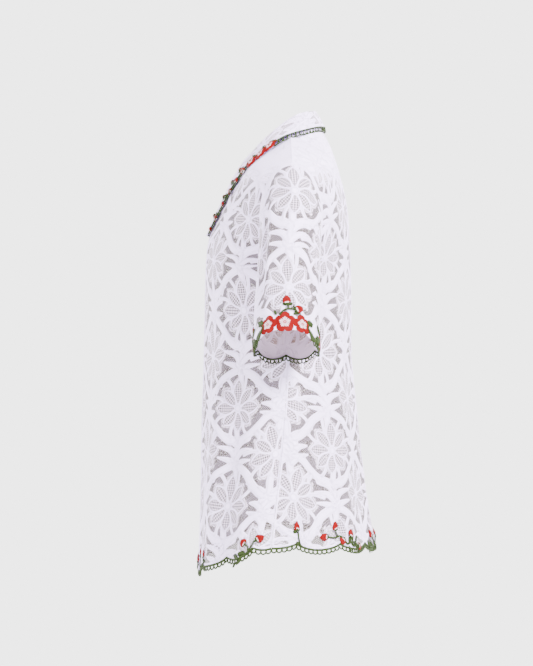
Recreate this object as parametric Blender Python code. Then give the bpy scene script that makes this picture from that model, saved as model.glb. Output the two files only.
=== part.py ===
# Lace kebaya blouse in the hollow form it has when worn: a back, two fronts that
# meet at the centre, two set-in short sleeves, a turned-down shawl collar, and the
# embroidered edging that is sewn along the collar, the cuffs and the hem.
# Metres.  +Z is up, the front faces -Y and the wearer's left is +X.
# The origin lies midway between the two shoulder seams, which carry the blouse.

import math
from collections import namedtuple

import bmesh
import bpy
from mathutils import Vector
from mathutils.bvhtree import BVHTree

# Cloth
WALL = 0.0015              # lace with its raised ribbons
SEAM_GAP = 0.0004          # between pieces that are sewn edge to edge
LIFT = 0.0008              # what lies on a panel floats this far off it
COLLAR_WALL = 0.0012
# How far off the panels the collar's right side stays, at its seam, fold, fall and edge
COLLAR_LIFT = (0.0010, 0.0032, 0.0046, 0.0030)
COLUMNS = 14               # across half the back, and across each front
BODY_ROWS = 11             # hem to underarm
ARMHOLE_ROWS = 12          # underarm to shoulder seam
SLEEVE_ROWS = 8

# Shoulder and armhole
SHOULDER_Y = 0.008         # the shoulder seam runs straight over the top
NECK_POINT = Vector((0.078, SHOULDER_Y, 0.020))
SHOULDER_POINT = Vector((0.198, SHOULDER_Y, -0.038))
UNDERARM = Vector((0.183, SHOULDER_Y, -0.195))
ARMHOLE_WAIST_X = 0.1680   # pulls the armhole in towards the chest
ARMHOLE_HALF_DEPTH = 0.047
BACK_NECK_Y = 0.056
BACK_NECK_Z = 0.036
BACK_NECK_SHARE = 0.4      # share of the back's top edge that is neckline

# Sleeve
CUFF_CENTRE = Vector((0.234, 0.000, -0.311))
CUFF_HALF_WIDTH = 0.0525
CUFF_HALF_DEPTH = 0.049
CUFF_TILT = math.radians(16)
SLEEVE_FOLD_DEPTH = 0.0040

# Scalloped hem and cuffs, with the edging below them
LOBE_COLUMNS = 4
HEM_LOBE = 0.009
CUFF_LOBE = 0.004
EDGING_HEIGHT = 0.0080
EDGING_WALL = 0.0018

# Flower appliques
FLOWER_SIDES = 8
FLOWER_WALL = 0.0012
CUFF_FLOWER_RADIUS = 0.0125
CUFF_FLOWER_RISE = 0.0155  # of the flower's centre above the cuff's edge
CUFF_SPRAYS = 3
COLLAR_FLOWER_RADIUS = 0.0088
COLLAR_FLOWER_LIFT = 0.0012

# One row for each section of a panel, from the hem up.  y_mid and z_mid are where it
# meets the centre line, turn is how far the cloth turns from there to its side edge,
# and opening is the half width of the neckline there.
Section = namedtuple("Section", "z_mid y_mid turn opening")
FRONT_SECTIONS = [
    Section(-0.668, -0.1390, 90, 0.0),      # hem
    Section(-0.565, -0.1355, 90, 0.0),      # low hip
    Section(-0.455, -0.1340, 90, 0.0),      # hip
    Section(-0.350, -0.1305, 90, 0.0),      # waist
    Section(-0.265, -0.1285, 90, 0.0),      # midriff
    Section(-0.190, -0.1265, 90, 0.0),      # underarm
    Section(-0.144, -0.1215, 76, 0.0),      # fronts part
    Section(-0.100, -0.1040, 68, 0.017),    # chest
    Section(-0.053, -0.0825, 62, 0.042),    # upper chest
    Section(-0.006, -0.0550, 50, 0.066),    # collar bone
    Section(0.0577, SHOULDER_Y, 2, 0.078),  # shoulder seam
]
BACK_SECTIONS = [
    Section(-0.622, 0.1430, 90, 0.0),       # hem
    Section(-0.560, 0.1300, 90, 0.0),       # low hip
    Section(-0.455, 0.1190, 90, 0.0),       # hip
    Section(-0.350, 0.1080, 90, 0.0),       # waist
    Section(-0.265, 0.1060, 90, 0.0),       # midriff
    Section(-0.190, 0.1050, 90, 0.0),       # underarm
    Section(-0.140, 0.1030, 80, 0.0),       # shoulder blade
    Section(-0.090, 0.0985, 74, 0.0),       # across back
    Section(-0.042, 0.0880, 68, 0.0),       # upper back
    Section(0.002, 0.0735, 60, 0.0),        # yoke level
]
Seam = namedtuple("Seam", "x y z")
SIDE_SEAM = [
    Seam(0.203, -0.022, -0.606),            # hem
    Seam(0.196, -0.014, -0.540),            # low hip
    Seam(0.185, -0.004, -0.450),            # hip
    Seam(0.172, 0.002, -0.350),             # waist
    Seam(0.174, 0.006, -0.265),             # midriff
    Seam(UNDERARM.x, UNDERARM.y, UNDERARM.z),
]
LEVEL_UNDERARM = len(SIDE_SEAM) - 1
LEVEL_TOP = len(FRONT_SECTIONS) - 1

# Long soft folds that hang from the bust and the shoulder blades.  across runs from
# 0 at the centre line to 1 at the side seam, and height is positive on a ridge.
Fold = namedtuple("Fold", "across_top across_hem half_width z_start height")
FRONT_FOLDS = [
    Fold(0.47, 0.41, 0.10, -0.180, 0.0060),
    Fold(0.64, 0.58, 0.12, -0.200, -0.0040),
    Fold(0.88, 0.84, 0.10, -0.300, 0.0025),
    Fold(0.18, 0.14, 0.10, -0.280, -0.0025),
]
BACK_FOLDS = [
    Fold(0.24, 0.28, 0.12, -0.260, -0.0040),
    Fold(0.46, 0.50, 0.11, -0.240, 0.0045),
    Fold(0.70, 0.72, 0.12, -0.300, -0.0040),
    Fold(0.88, 0.87, 0.09, -0.380, 0.0025),
]

# The collar, from the centre back round to where the fronts part.  seam is the place
# on the neckline: -1 centre back, 0 neck point, then one for each front section down.
Collar = namedtuple("Collar", "seam fold_x fold_y fold_z edge_x edge_y edge_z")
COLLAR_SECTIONS = [
    Collar(-1.00, 0.000, 0.0500, 0.0610, 0.0000, 0.0690, 0.0340),
    Collar(-0.50, 0.046, 0.0370, 0.0560, 0.0660, 0.0430, 0.0260),
    Collar(0.00, 0.067, 0.0080, 0.0430, 0.1010, 0.0040, 0.0130),
    Collar(0.30, 0.069, -0.0110, 0.0300, 0.1070, -0.0180, 0.0010),
    Collar(0.65, 0.063, -0.0330, 0.0120, 0.1040, -0.0360, -0.0125),
    Collar(1.00, 0.054, -0.0530, -0.0080, 0.0940, -0.0510, -0.0280),
    Collar(1.55, 0.041, -0.0720, -0.0310, 0.0780, -0.0650, -0.0500),
    Collar(2.55, 0.023, -0.0960, -0.0750, 0.0500, -0.0910, -0.0850),
    Collar(3.70, 0.0040, -0.1210, -0.1280, 0.0180, -0.1195, -0.1260),
]
COLLAR_STEPS = 2           # stations from one row of the table to the next
COLLAR_STAND = (0.14, 0.62)   # where the stand begins and ends, from neck seam to fold
STAND_INSET = 0.0006
STAND_SHORTER = 3          # stations left without a stand at each front end
COLLAR_FLOWERS = (3.35, 4.15, 5.0)   # their places, in rows of the table

# Colours, as linear red, green, blue
WHITE = (0.86, 0.84, 0.88)
GREEN = (0.09, 0.14, 0.05)
RED = (0.72, 0.03, 0.04)


def clear_scene():
    for old in list(bpy.data.objects):
        bpy.data.objects.remove(old, do_unlink=True)


def material(name, colour, roughness):
    made = bpy.data.materials.new(name)
    made.use_nodes = True
    shader = made.node_tree.nodes["Principled BSDF"]
    shader.inputs["Base Color"].default_value = (*colour, 1.0)
    shader.inputs["Roughness"].default_value = roughness
    shader.inputs["Metallic"].default_value = 0.0
    return made


def spline(values, place):
    # A smooth curve through evenly counted values, straight on past both ends.
    index = min(max(int(math.floor(place)), 0), len(values) - 2)
    part = place - index
    here, after = values[index], values[index + 1]
    before = values[index - 1] if index > 0 else 2 * here - after
    beyond = values[index + 2] if index + 2 < len(values) else 2 * after - here
    slope_here = (after - before) / 2
    slope_after = (beyond - here) / 2
    rise = after - here
    return (here + slope_here * part
            + (3 * rise - 2 * slope_here - slope_after) * part ** 2
            + (slope_here + slope_after - 2 * rise) * part ** 3)


def column(table, name, place):
    return spline([getattr(row, name) for row in table], place)


def armhole(share, front):
    # share runs from 0 at the underarm to 1 at the shoulder point.
    angle = math.pi * (share - 0.5)
    half_height = (SHOULDER_POINT.z - UNDERARM.z) / 2
    rest = 1 - share
    x = (rest * rest * UNDERARM.x + 2 * share * rest * ARMHOLE_WAIST_X
         + share * share * SHOULDER_POINT.x)
    way = -1 if front else 1
    y = SHOULDER_Y + way * ARMHOLE_HALF_DEPTH * math.cos(angle)
    z = UNDERARM.z + half_height * (1 + math.sin(angle))
    return Vector((x, y, z))


def side_edge(level, front):
    if level <= LEVEL_UNDERARM:
        return Vector([column(SIDE_SEAM, name, level) for name in "xyz"])
    share = (level - LEVEL_UNDERARM) / (LEVEL_TOP - LEVEL_UNDERARM)
    return armhole(share, front)


def back_top(across):
    # The back's top edge: half the neckline, then the shoulder seam.
    if across <= BACK_NECK_SHARE:
        angle = math.pi / 2 * across / BACK_NECK_SHARE
        return Vector((
            NECK_POINT.x * math.sin(angle),
            NECK_POINT.y + (BACK_NECK_Y - NECK_POINT.y) * math.cos(angle),
            NECK_POINT.z + (BACK_NECK_Z - NECK_POINT.z) * math.cos(angle)))
    along = (across - BACK_NECK_SHARE) / (1 - BACK_NECK_SHARE)
    return NECK_POINT.lerp(SHOULDER_POINT, along)


def arc_point(table, level, across, front):
    # A point of one section: a part of an ellipse from centre line to side edge.
    edge = side_edge(level, front)
    turn = math.radians(column(table, "turn", level))
    opening = column(table, "opening", level) if level > LEVEL_UNDERARM + 1 else 0.0
    first = math.asin(opening / edge.x * math.sin(turn)) / turn
    share = first + (1 - first) * across
    y_mid = column(table, "y_mid", level)
    z_mid = column(table, "z_mid", level)
    bend = (1 - math.cos(share * turn)) / (1 - math.cos(turn))
    return Vector((
        edge.x * math.sin(share * turn) / math.sin(turn),
        y_mid + (edge.y - y_mid) * bend,
        z_mid + (edge.z - z_mid) * share))


def front_point(level, across):
    return arc_point(FRONT_SECTIONS, level, across, True)


def back_point(level, across):
    last = len(BACK_SECTIONS) - 1
    if level <= last - 1:
        return arc_point(BACK_SECTIONS, level, across, False)
    # The last stretch curves over into the neckline and the shoulder seam.
    rows = [arc_point(BACK_SECTIONS, place, across, False) for place in (last - 2, last - 1, last)]
    rows.append(back_top(across))
    return Vector([spline([row[axis] for row in rows], level - (last - 2)) for axis in range(3)])


def smooth_step(value):
    value = min(max(value, 0.0), 1.0)
    return value * value * (3 - 2 * value)


def fold_height(folds, across, z):
    total = 0.0
    hem_z = FRONT_SECTIONS[0].z_mid
    for fold in folds:
        down = (fold.z_start - z) / (fold.z_start - hem_z)
        place = fold.across_top + (fold.across_hem - fold.across_top) * max(down, 0.0)
        away = (across - place) / fold.half_width
        total += fold.height * smooth_step(down * 1.6) * math.exp(-away * away)
    return total


def lobe(position, columns, depth):
    # Round scallops hanging below the line, with a notch every few columns.
    phase = (position * columns / LOBE_COLUMNS) % 1.0
    return depth * math.sin(math.pi * phase) ** 0.7


def grid_normals(grid, outward):
    # Unit normals of a grid of points, turned to the side that outward gives.
    rows, count = len(grid), len(grid[0])
    normals = []
    for i in range(rows):
        line = []
        for j in range(count):
            up = grid[min(i + 1, rows - 1)][j] - grid[max(i - 1, 0)][j]
            over = grid[i][min(j + 1, count - 1)] - grid[i][max(j - 1, 0)]
            normal = up.cross(over).normalized()
            if normal.dot(outward(grid[i][j])) < 0:
                normal.negate()
            line.append(normal)
        normals.append(line)
    return normals


def move_out(grid, normals, distance):
    return [[point + normal * distance for point, normal in zip(line, row)]
            for line, row in zip(grid, normals)]


def shell(name, outer, inner, finish, ring=False):
    # One closed wall between two grids; a ring joins its last column to its first.
    mesh = bmesh.new()
    rows, count = len(outer), len(outer[0])
    top = [[mesh.verts.new(point) for point in line] for line in outer]
    under = [[mesh.verts.new(point) for point in line] for line in inner]
    spans = count if ring else count - 1
    for i in range(rows - 1):
        for j in range(spans):
            k = (j + 1) % count
            mesh.faces.new((top[i][j], top[i][k], top[i + 1][k], top[i + 1][j]))
            mesh.faces.new((under[i][j], under[i + 1][j], under[i + 1][k], under[i][k]))
    for i in (0, rows - 1):
        for j in range(spans):
            k = (j + 1) % count
            mesh.faces.new((top[i][j], top[i][k], under[i][k], under[i][j]))
    if not ring:
        for j in (0, count - 1):
            for i in range(rows - 1):
                mesh.faces.new((top[i][j], top[i + 1][j], under[i + 1][j], under[i][j]))
    return add_object(name, mesh, finish)


def add_object(name, mesh, finish):
    bmesh.ops.recalc_face_normals(mesh, faces=mesh.faces)
    if mesh.calc_volume(signed=True) < 0:
        bmesh.ops.reverse_faces(mesh, faces=mesh.faces)
    data = bpy.data.meshes.new(name)
    mesh.to_mesh(data)
    mesh.free()
    data.materials.append(finish)
    data.shade_smooth()
    data.set_sharp_from_angle(angle=math.radians(40))
    made = bpy.data.objects.new(name, data)
    bpy.context.scene.collection.objects.link(made)
    return made


def mirrored(point, side):
    return Vector((point.x * side, point.y, point.z))


def panel_levels():
    lower = [LEVEL_UNDERARM * i / BODY_ROWS for i in range(BODY_ROWS)]
    span = LEVEL_TOP - LEVEL_UNDERARM
    upper = [LEVEL_UNDERARM + span * i / ARMHOLE_ROWS for i in range(ARMHOLE_ROWS + 1)]
    return lower + upper


def seam_normal(along):
    # Both pieces at a seam share this normal, so their walls meet face to face.
    normal = along.cross(Vector((0, 1, 0))).normalized()
    return normal if normal.x > 0 else -normal


def half_panel(point_at, folds, front):
    # The outer grid and its normals, from the centre line to the left side edge.
    levels = panel_levels()
    places = [j / COLUMNS for j in range(COLUMNS + 1)]
    grid = [[point_at(level, across) for across in places] for level in levels]
    away = Vector((0, -1, 0)) if front else Vector((0, 1, 0))
    normals = grid_normals(grid, lambda point: away + Vector((point.x * 9, 0, 0.3)))
    for i, level in enumerate(levels):
        if level <= LEVEL_UNDERARM:
            below = side_edge(max(level - 0.1, 0), front)
            above = side_edge(min(level + 0.1, LEVEL_UNDERARM), front)
            normals[i][-1] = seam_normal(above - below)
        if level <= LEVEL_UNDERARM + 1 or not front:
            normals[i][0].x = 0
            normals[i][0].normalize()
    top_normal = seam_normal(SHOULDER_POINT - NECK_POINT)
    for j, across in enumerate(places):
        if front or across >= BACK_NECK_SHARE:
            normals[-1][j] = top_normal.copy()
    for i, level in enumerate(levels):
        for j, across in enumerate(places):
            z = grid[i][j].z
            fade = 1 - smooth_step((across - 0.92) / 0.08)
            grid[i][j] = grid[i][j] + normals[i][j] * fold_height(folds, across, z) * fade
    for j, across in enumerate(places):
        grid[0][j].z -= lobe(across, COLUMNS, HEM_LOBE)
    way = -1 if front else 1
    for i in range(len(levels)):
        grid[i][-1].y += way * SEAM_GAP / 2 * (levels[i] <= LEVEL_UNDERARM)
    for j, across in enumerate(places):
        grid[-1][j].y += way * SEAM_GAP / 2 * (front or across >= BACK_NECK_SHARE)
    return grid, normals


def hem_edging(name, grid, normals, finish):
    # A band hung from the panel's scalloped edge.
    rows = [[point - Vector((0, 0, drop)) for point in grid[0]]
            for drop in (SEAM_GAP, EDGING_HEIGHT)]
    facing = [[Vector((normal.x, normal.y, 0)).normalized() for normal in normals[0]]] * 2
    shell(name, move_out(rows, facing, EDGING_WALL - WALL), move_out(rows, facing, -WALL), finish)


def build_fronts(lace, edging):
    grid, normals = half_panel(front_point, FRONT_FOLDS, True)
    for line, level in zip(grid, panel_levels()):
        if level <= LEVEL_UNDERARM + 1:
            line[0].x += SEAM_GAP / 2
    built = []
    for side, word in ((1, "left"), (-1, "right")):
        outer = [[mirrored(point, side) for point in line] for line in grid]
        built.append((outer, False))
        facing = [[mirrored(normal, side) for normal in line] for line in normals]
        shell("front_" + word, outer, move_out(outer, facing, -WALL), lace)
        hem_edging("hem_edging_front_" + word, outer, facing, edging)
    return built


def build_back(lace, edging):
    grid, normals = half_panel(back_point, BACK_FOLDS, False)
    outer, facing = [], []
    for line, row in zip(grid, normals):
        outer.append([mirrored(point, -1) for point in line[:0:-1]] + line)
        facing.append([mirrored(normal, -1) for normal in row[:0:-1]] + row)
    shell("back", outer, move_out(outer, facing, -WALL), lace)
    hem_edging("hem_edging_back", outer, facing, edging)
    return [(outer, False)]


def cuff_point(angle, front):
    # angle runs from -90 degrees on the sleeve's inner side to 90 on its outer side.
    way = -1 if front else 1
    across = Vector((math.cos(CUFF_TILT), 0, math.sin(CUFF_TILT)))
    return (CUFF_CENTRE + across * CUFF_HALF_WIDTH * math.sin(angle)
            + Vector((0, way * CUFF_HALF_DEPTH * math.cos(angle), 0)))


def sleeve_axis():
    return Vector((math.sin(CUFF_TILT), 0, -math.cos(CUFF_TILT)))


def sleeve_point(turn, along):
    # turn is 0 at the underarm, 0.25 at the front, 0.5 at the shoulder, 0.75 at the back.
    front = turn <= 0.5
    share = turn * 2 if front else 2 - turn * 2
    angle = math.pi * (share - 0.5)
    start = armhole(share, front)
    start.x += SEAM_GAP
    end = cuff_point(angle, front)
    outer = (1 + math.sin(angle)) / 2
    leave = Vector((0.96 - 0.16 * outer, 0, -0.28 - 0.32 * outer)).normalized()
    reach = 0.030 + 0.070 * outer
    first = start + leave * reach
    second = end - sleeve_axis() * reach
    rest = 1 - along
    point = (start * rest ** 3 + first * 3 * rest ** 2 * along
             + second * 3 * rest * along ** 2 + end * along ** 3)
    # a long trough down the front of the sleeve, gone before the cuff
    across = math.exp(-((turn - 0.345) / 0.035) ** 2)
    depth = SLEEVE_FOLD_DEPTH * across * math.sin(math.pi * min(along / 0.85, 1.0)) ** 0.8
    inward = Vector((CUFF_CENTRE.x - point.x, CUFF_CENTRE.y - point.y, 0)).normalized()
    return point + inward * depth


def sleeve_normal(turn, along):
    step = 0.004
    over = sleeve_point((turn + step) % 1.0, along) - sleeve_point((turn - step) % 1.0, along)
    low = max(along - step, 0.0)
    high = min(along + step, 1.0)
    down = sleeve_point(turn, high) - sleeve_point(turn, low)
    return over.cross(down).normalized()


def build_sleeve(word, side, lace, edging):
    turns = [j / (2 * ARMHOLE_ROWS) for j in range(2 * ARMHOLE_ROWS)]
    outer, inner = [], []
    for i in range(SLEEVE_ROWS + 1):
        along = i / SLEEVE_ROWS
        line, under = [], []
        for turn in turns:
            point = sleeve_point(turn, along)
            normal = sleeve_normal(turn, along)
            if i == 0:
                middle = Vector((point.x, SHOULDER_Y, (SHOULDER_POINT.z + UNDERARM.z) / 2))
                normal = (point - middle).normalized()
            if i == SLEEVE_ROWS:
                point = point + sleeve_axis() * lobe(turn, len(turns), CUFF_LOBE)
            line.append(mirrored(point, side))
            under.append(mirrored(point - normal * WALL, side))
        outer.append(line)
        inner.append(under)
    shell("sleeve_" + word, outer, inner, lace, ring=True)
    tree = surface_tree([(outer, True)])
    axis = mirrored(sleeve_axis(), side)
    rows = [[point + axis * drop for point in outer[-1]] for drop in (SEAM_GAP, EDGING_HEIGHT)]
    under = [[point + axis * drop for point in inner[-1]] for drop in (SEAM_GAP, EDGING_HEIGHT)]
    shell("cuff_edging_" + word, rows, under, edging, ring=True)
    return tree


def surface_tree(grids):
    # The outer faces of some panels, to lay other pieces on.
    points, faces = [], []
    for grid, ring in grids:
        first, count = len(points), len(grid[0])
        points += [point for line in grid for point in line]
        for i in range(len(grid) - 1):
            for j in range(count if ring else count - 1):
                k = (j + 1) % count
                low, high = first + i * count, first + (i + 1) * count
                faces.append((low + j, low + k, high + k, high + j))
    return BVHTree.FromPolygons(points, faces)


def clear_of(tree, point, outward, distance):
    # The point itself, or where it has to be to stand that far off the panels.
    place, normal, _, _ = tree.find_nearest(point)
    if normal.dot(outward) < 0:
        normal.negate()
    short = distance - (point - place).dot(normal)
    return point + normal * max(short, 0.0)


def laid_on(tree, point, outward, distance):
    place, normal, _, _ = tree.find_nearest(point)
    if normal.dot(outward) < 0:
        normal.negate()
    return place + normal * distance


def flower(name, normal, tree, point_at, radius, lift, finish):
    # A thin eight-sided disc laid on the cloth.
    mesh = bmesh.new()
    over = [laid_on(tree, point_at(0, 0), normal, 0)]
    for k in range(FLOWER_SIDES):
        angle = 2 * math.pi * (k + 0.5) / FLOWER_SIDES
        rim = point_at(radius * math.cos(angle), radius * math.sin(angle))
        over.append(laid_on(tree, rim, normal, 0))
    lower = [mesh.verts.new(point + normal * lift) for point in over]
    upper = [mesh.verts.new(point + normal * (lift + FLOWER_WALL)) for point in over]
    for k in range(1, FLOWER_SIDES + 1):
        after = k % FLOWER_SIDES + 1
        mesh.faces.new((upper[0], upper[k], upper[after]))
        mesh.faces.new((lower[0], lower[after], lower[k]))
        mesh.faces.new((upper[k], lower[k], lower[after], upper[after]))
    return add_object(name, mesh, finish)


def build_cuff_flowers(word, side, tree, petal):
    # Three sprays round the cuff, each of three flowers side by side.
    girth = 2 * math.pi * (CUFF_HALF_WIDTH + CUFF_HALF_DEPTH) / 2
    length = (cuff_point(math.pi / 2, True) - SHOULDER_POINT).length
    for spray in range(CUFF_SPRAYS):
        for place in (-1, 0, 1):
            turn = 0.49 + spray / CUFF_SPRAYS + place * 2.02 * CUFF_FLOWER_RADIUS / girth
            along = 1 - CUFF_FLOWER_RISE / length

            def cloth(over, down, turn=turn, along=along):
                return mirrored(sleeve_point((turn + over / girth) % 1.0,
                                             min(along + down / length, 1.0)), side)

            number = spray * 3 + place + 2
            normal = mirrored(sleeve_normal(turn % 1.0, along), side)
            flower("cuff_flower_%s_%d" % (word, number), normal, tree, cloth,
                   CUFF_FLOWER_RADIUS, LIFT, petal)


def neckline(seam):
    # The neck edge of the panels and the cloth's normal there.
    step = 0.02
    if seam <= 0:
        across = (1 + seam) * BACK_NECK_SHARE
        point = back_top(across)
        below = back_point(LEVEL_TOP - 1 - step, max(across, step)) - \
            back_point(LEVEL_TOP - 1, max(across, step))
        along = back_top(min(across + step, BACK_NECK_SHARE)) - back_top(max(across - step, 0))
        normal = along.cross(below).normalized()
        return point, normal if normal.z > 0 else -normal
    level = LEVEL_TOP - seam
    point = front_point(level, 0)
    along = front_point(min(level + step, LEVEL_TOP), 0) - front_point(level - step, 0)
    over = front_point(level, step) - point
    normal = along.cross(over).normalized()
    return point, normal if normal.y < 0 else -normal


def collar_line(place, tree):
    # The collar's section at one place: neck seam, fold, fall and outer edge, then the
    # outer end of its edging.
    seam, normal = neckline(column(COLLAR_SECTIONS, "seam", place))
    root = seam + normal * COLLAR_LIFT[0]
    fold = Vector([column(COLLAR_SECTIONS, "fold_" + name, place) for name in "xyz"])
    edge = Vector([column(COLLAR_SECTIONS, "edge_" + name, place) for name in "xyz"])
    reach = (edge - fold).normalized() * EDGING_HEIGHT / 2
    up = Vector((0.2 * (place > 0), 0.6 - place * 0.2, 1.0))
    line = [root, fold, fold.lerp(edge - reach, 0.5), edge - reach]
    line = [clear_of(tree, point, up, lift) for point, lift in zip(line, COLLAR_LIFT)]
    return line, clear_of(tree, edge + reach, up, COLLAR_LIFT[-1])


def strip_normals(grid):
    normals = []
    for i, line in enumerate(grid):
        before = grid[max(i - 1, 0)]
        after = grid[min(i + 1, len(grid) - 1)]
        row = []
        for j in range(len(line)):
            along = after[j] - before[j]
            over = line[min(j + 1, len(line) - 1)] - line[max(j - 1, 0)]
            row.append(along.cross(over).normalized())
        normals.append(row)
    return normals


def build_collar(tree, cloth, edging, petal):
    last = len(COLLAR_SECTIONS) - 1
    stations = [i / COLLAR_STEPS for i in range(last * COLLAR_STEPS + 1)]
    half = [collar_line(place, tree) for place in stations]
    lines = [line for line, _ in half]
    whole = [[mirrored(point, -1) for point in line] for line in lines[:0:-1]] + lines
    grid = [line[1:] for line in whole]
    normals = strip_normals(grid)
    shell("collar", grid, move_out(grid, normals, -COLLAR_WALL), cloth)
    # the stand rises from the neck seam and ends inside the fold
    low, high = COLLAR_STAND
    stand = [[line[0].lerp(line[1], low), line[0].lerp(line[1], high)] for line in whole]
    stand = stand[STAND_SHORTER:-STAND_SHORTER]
    facing = strip_normals(stand)
    shell("collar_stand", move_out(stand, facing, STAND_INSET),
          move_out(stand, facing, STAND_INSET + COLLAR_WALL), cloth)
    for side, word in ((1, "left"), (-1, "right")):
        strip, facing = [], []
        for i, (line, end) in enumerate(half):
            start = line[-1].lerp(end, SEAM_GAP / EDGING_HEIGHT)
            if i == 0:
                start.x = end.x = SEAM_GAP / 2
            normal = normals[len(lines) - 1 + i][-1]
            strip.append([mirrored(start, side), mirrored(end, side)])
            facing.append([mirrored(normal, side)] * 2)
        shell("collar_edging_" + word, strip, move_out(strip, facing, -COLLAR_WALL), edging)
        ground = [[mirrored(point, side) for point in (*line[1:], end)] for line, end in half]
        collar_tree = surface_tree([(ground, False)])
        for number, place in enumerate(COLLAR_FLOWERS, 1):
            name = "collar_flower_%s_%d" % (word, number)
            build_collar_flower(name, place, side, tree, collar_tree, petal)


def build_collar_flower(name, place, side, tree, collar_tree, petal):
    line, end = collar_line(place, tree)
    along = (collar_line(place + 0.1, tree)[1] - collar_line(place - 0.1, tree)[1]).normalized()
    reach = (end - line[-1]).normalized()
    middle = line[-1].lerp(end, 0.2)
    facing = reach.cross(along).normalized()
    if facing.dot(Vector((0.3, -0.5, 1))) < 0:
        facing.negate()

    def cloth(over, down):
        return mirrored(middle + along * over + reach * down * 0.8, side)

    flower(name, mirrored(facing, side), collar_tree, cloth,
           COLLAR_FLOWER_RADIUS, COLLAR_FLOWER_LIFT, petal)


def build():
    clear_scene()
    lace = material("white_lace", WHITE, 0.8)
    edging = material("green_edging", GREEN, 0.75)
    petal = material("red_petal", RED, 0.7)
    panels = build_back(lace, edging) + build_fronts(lace, edging)
    for side, word in ((1, "left"), (-1, "right")):
        tree = build_sleeve(word, side, lace, edging)
        build_cuff_flowers(word, side, tree, petal)
    build_collar(surface_tree(panels), lace, edging, petal)


build()
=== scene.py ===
import math

import bpy
import numpy as np
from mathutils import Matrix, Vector
from mathutils.bvhtree import BVHTree


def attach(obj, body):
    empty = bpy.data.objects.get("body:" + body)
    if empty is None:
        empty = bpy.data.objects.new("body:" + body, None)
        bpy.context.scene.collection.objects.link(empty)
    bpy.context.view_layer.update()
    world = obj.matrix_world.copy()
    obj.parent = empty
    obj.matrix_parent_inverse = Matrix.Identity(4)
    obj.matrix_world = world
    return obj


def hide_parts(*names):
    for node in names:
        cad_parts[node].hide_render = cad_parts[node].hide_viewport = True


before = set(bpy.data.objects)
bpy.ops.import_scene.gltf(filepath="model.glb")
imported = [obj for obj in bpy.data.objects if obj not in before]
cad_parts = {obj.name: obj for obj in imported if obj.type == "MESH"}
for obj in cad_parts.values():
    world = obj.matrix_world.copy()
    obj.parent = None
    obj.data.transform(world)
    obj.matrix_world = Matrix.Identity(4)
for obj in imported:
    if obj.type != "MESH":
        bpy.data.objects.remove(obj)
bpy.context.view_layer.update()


studio = {
    "cameraPlace": (3.2, -0.0296, -0.2928),
    "lens": 108.1,
    "sensor": 36.0,
    "backdrop": 4.0,           # as the camera sees it
    "skyLight": 1.35,          # as it lights the cloth
    "target": (0.0, 0.0, -0.30),
    "lights": [                # name, place, size, power
        ("key", (2.3, 1.9, 1.5), 1.1, 720.0),
        ("fill", (2.2, -2.2, 0.3), 2.0, 200.0),
        ("rim", (-2.2, 1.4, 1.2), 1.6, 260.0),
        ("farFill", (-2.0, -2.2, 0.6), 2.0, 260.0),
    ],
    "floorHeight": -1.40,
    "floorRadius": 3.0,
}


def addAreaLight(name, place, size, power):
    light = bpy.data.lights.new(name, "AREA")
    light.shape = "DISK"
    light.size = size
    light.energy = power
    lamp = bpy.data.objects.new(name, light)
    lamp.location = place
    aim = Vector(studio["target"]) - Vector(place)
    lamp.rotation_euler = aim.to_track_quat("-Z", "Y").to_euler()
    bpy.context.scene.collection.objects.link(lamp)


def setStudio():
    view = bpy.data.cameras.new("camera")
    view.lens = studio["lens"]
    view.sensor_width = studio["sensor"]
    camera = bpy.data.objects.new("camera", view)
    camera.location = studio["cameraPlace"]
    camera.rotation_euler = (math.radians(90), 0, math.radians(90))
    bpy.context.scene.collection.objects.link(camera)
    bpy.context.scene.camera = camera

    for light in studio["lights"]:
        addAreaLight(*light)

    world = bpy.data.worlds.new("studioWorld")
    world.use_nodes = True
    nodes, links = world.node_tree.nodes, world.node_tree.links
    sky = nodes["Background"]
    sky.inputs["Color"].default_value = (1, 1, 1, 1)
    seen = nodes.new("ShaderNodeLightPath")
    strength = nodes.new("ShaderNodeMapRange")
    strength.inputs["To Min"].default_value = studio["skyLight"]
    strength.inputs["To Max"].default_value = studio["backdrop"]
    links.new(seen.outputs["Is Camera Ray"], strength.inputs["Value"])
    links.new(strength.outputs["Result"], sky.inputs["Strength"])
    bpy.context.scene.world = world

    bpy.ops.object.select_all(action="DESELECT")
    bpy.ops.mesh.primitive_circle_add(vertices=96, radius=studio["floorRadius"],
                                      fill_type="NGON",
                                      location=(0, 0, studio["floorHeight"]))
    floor = bpy.context.object
    floor.name = "floor"
    bpy.ops.object.transform_apply(location=True)
    return floor



class Value:
    # a number in a material's nodes: a + b * 2 adds the Math nodes it needs
    def __init__(self, finish, socket):
        self.finish = finish
        self.socket = socket

    def math(self, operation, *others):
        sockets = {i: part for i, part in enumerate(others)}
        node = self.finish.node("ShaderNodeMath", {"operation": operation}, sockets)
        return Value(self.finish, node.outputs[0])

    def __add__(self, other):
        return self.math("ADD", self, other)

    __radd__ = __add__

    def __sub__(self, other):
        return self.math("SUBTRACT", self, other)

    def __rsub__(self, other):
        return self.math("SUBTRACT", other, self)

    def __mul__(self, other):
        return self.math("MULTIPLY", self, other)

    __rmul__ = __mul__

    def fraction(self):
        return self.math("FRACT", self)

    def sine(self):
        return self.math("SINE", self)

    def power(self, other):
        return self.math("POWER", self, other)

    def higher(self, other):
        return self.math("MAXIMUM", self, other)

    def lower(self, other):
        return self.math("MINIMUM", self, other)

    def ramp(self, start, end):
        # 0 at start, 1 at end, smooth between
        sockets = {"Value": self, "From Min": start, "From Max": end}
        settings = {"interpolation_type": "SMOOTHSTEP"}
        node = self.finish.node("ShaderNodeMapRange", settings, sockets)
        return Value(self.finish, node.outputs["Result"])


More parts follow.
